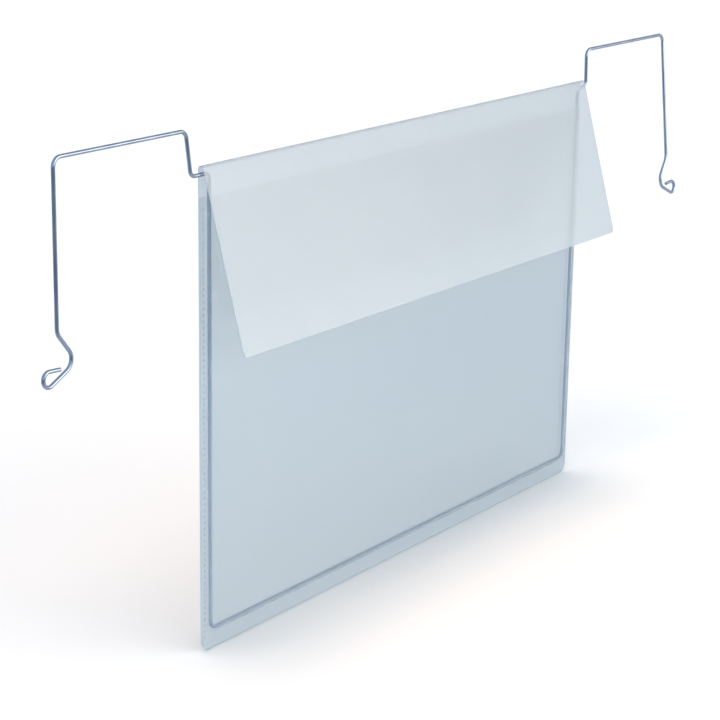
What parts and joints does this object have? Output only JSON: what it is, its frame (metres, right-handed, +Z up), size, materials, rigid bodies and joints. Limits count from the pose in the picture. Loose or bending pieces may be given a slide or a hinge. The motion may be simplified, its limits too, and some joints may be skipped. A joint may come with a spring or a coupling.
{
  "type": "hanging document pocket",
  "caption": "Landscape clear film pocket for a document, with a hinged rain flap over its mouth, held open on a bent wire frame whose ends form square hooks with teardrop eyes",
  "frame": {"origin": "midway between the two hooks, in the wire's own plane, level with the underside of the hook bars, where the pocket hangs", "axes": "+X along the hook bars to the viewer's right, +Y from the front to the back, square to the rear panel, +Z up"},
  "size_m": [0.5206, 0.0252, 0.2401],
  "materials": {
    "clear_film": "clear film with a faint blue cast and a soft sheen",
    "flap_film": "frosted translucent film with a fine grain",
    "bright_steel_wire": "bright drawn steel wire"
  },
  "bodies": {
    "pocket": {"back_panel": "clear_film", "front_panel": "clear_film", "wire_frame": "bright_steel_wire", "left_hook": "bright_steel_wire", "right_hook": "bright_steel_wire"},
    "rain_flap": {"flap": "flap_film"}
  },
  "joints": [
    {"name": "flap_hinge", "type": "hinge", "parent": "pocket", "child": "rain_flap", "pos_m": [0, -0.00158, -0.01646], "axis": [-1, 0, 0], "range_deg": [-12.5, 164], "stiffness_Nm_per_rad": 0.008, "springref_deg": 6.65}
  ]
}
